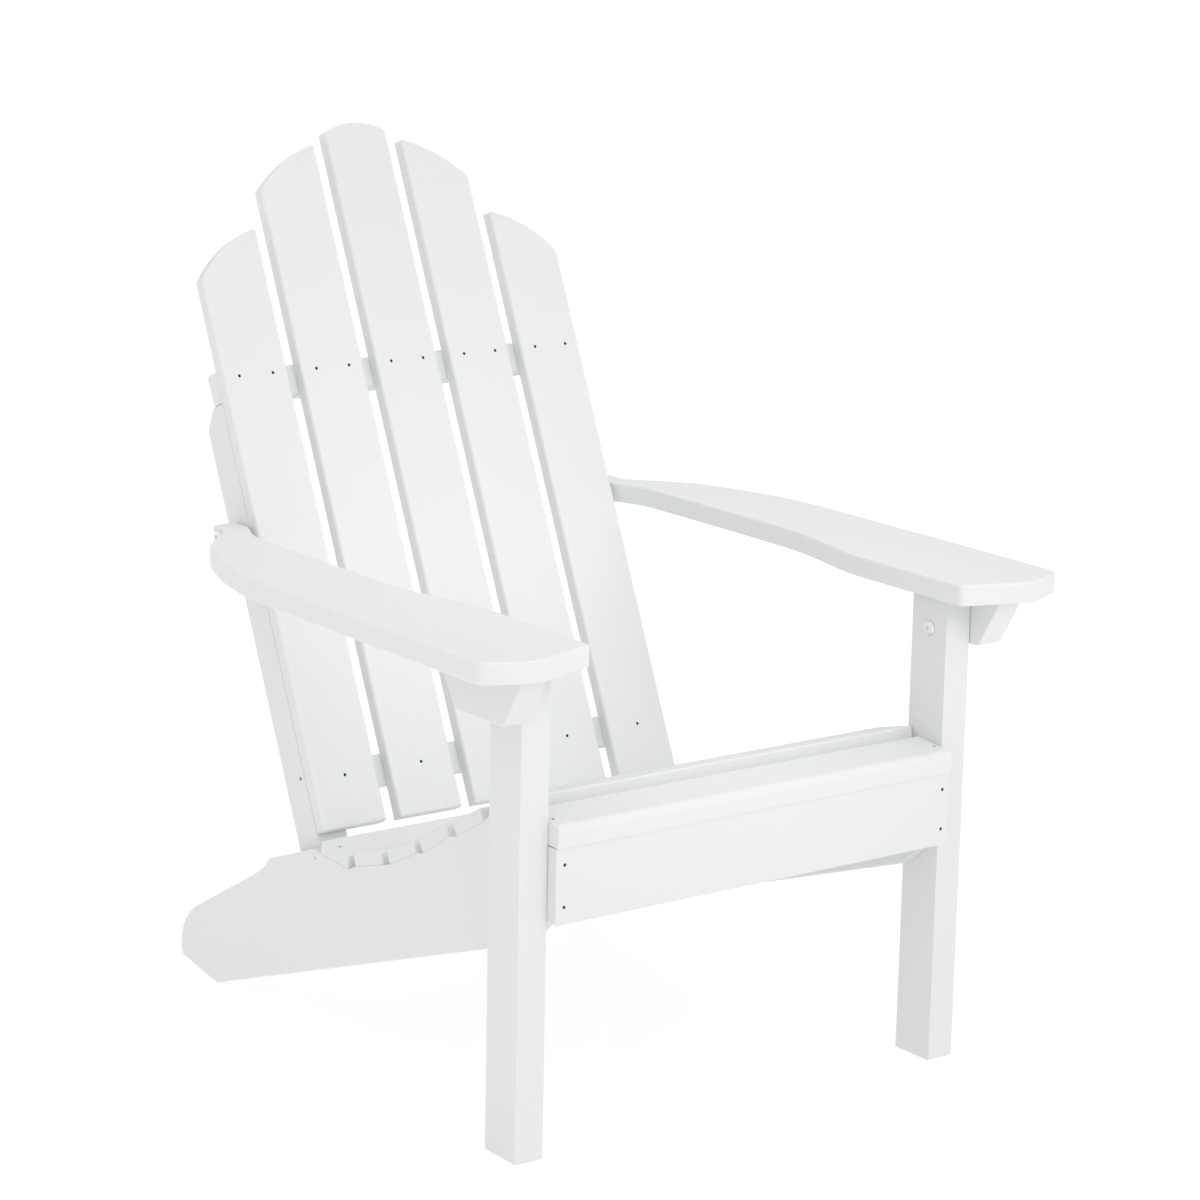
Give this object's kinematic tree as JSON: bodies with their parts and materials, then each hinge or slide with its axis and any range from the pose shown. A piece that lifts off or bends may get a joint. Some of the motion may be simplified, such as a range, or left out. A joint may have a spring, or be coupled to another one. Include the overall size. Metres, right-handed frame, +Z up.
{
  "type": "adirondack chair",
  "caption": "Fixed outdoor lounge chair of plastic lumber boards, with an arched slatted back, a scooped slatted seat, wide flat arms and sloping side boards.",
  "frame": {"origin": "on the floor, at the middle of the chair's plan", "axes": "+Z up, -Y the way the sitter faces, +X to the right of someone who stands in front of the chair and looks at it"},
  "size_m": [0.7634, 0.8554, 0.975],
  "materials": {
    "white_lumber": "white recycled plastic lumber with a faint embossed wood grain, matte to satin",
    "steel": "stainless steel connector bolts with hexagon sockets, and the two screws of the rear seat rail",
    "dark_screw": "dark coated countersunk screws"
  },
  "bodies": {
    "root": {"apron_screw_left_high": "dark_screw", "apron_screw_left_low": "dark_screw", "apron_screw_right_high": "dark_screw", "apron_screw_right_low": "dark_screw", "arm_bolt_left": "steel", "arm_bolt_right": "steel", "arm_cleat_left": "white_lumber", "arm_cleat_right": "white_lumber", "arm_left": "white_lumber", "arm_right": "white_lumber", "back_slat_1": "white_lumber", "back_slat_2": "white_lumber", "back_slat_3": "white_lumber", "back_slat_4": "white_lumber", "back_slat_5": "white_lumber", "back_stile_left": "white_lumber", "back_stile_right": "white_lumber", "cleat_bolt_left": "steel", "cleat_bolt_right": "steel", "front_apron": "white_lumber", "front_leg_left": "white_lumber", "front_leg_right": "white_lumber", "leg_bolt_left_high": "steel", "leg_bolt_left_low": "steel", "leg_bolt_right_high": "steel", "leg_bolt_right_low": "steel", "lower_back_rail": "white_lumber", "lower_slat_screw_1": "dark_screw", "lower_slat_screw_2": "dark_screw", "lower_slat_screw_3": "dark_screw", "lower_slat_screw_4": "dark_screw", "lower_slat_screw_5": "dark_screw", "rear_seat_rail": "white_lumber", "seat_rail_screw_left": "steel", "seat_rail_screw_right": "steel", "seat_slat_1": "white_lumber", "seat_slat_2": "white_lumber", "seat_slat_3": "white_lumber", "seat_slat_4": "white_lumber", "seat_slat_5": "white_lumber", "seat_slat_6": "white_lumber", "seat_slat_7": "white_lumber", "side_stringer_left": "white_lumber", "side_stringer_right": "white_lumber", "stile_bolt_left": "steel", "stile_bolt_right": "steel", "stile_screw_left": "dark_screw", "stile_screw_right": "dark_screw", "upper_back_rail": "white_lumber", "upper_slat_screw_1a": "dark_screw", "upper_slat_screw_1b": "dark_screw", "upper_slat_screw_2a": "dark_screw", "upper_slat_screw_2b": "dark_screw", "upper_slat_screw_3a": "dark_screw", "upper_slat_screw_3b": "dark_screw", "upper_slat_screw_4a": "dark_screw", "upper_slat_screw_4b": "dark_screw", "upper_slat_screw_5a": "dark_screw", "upper_slat_screw_5b": "dark_screw"}
  },
  "joints": []
}
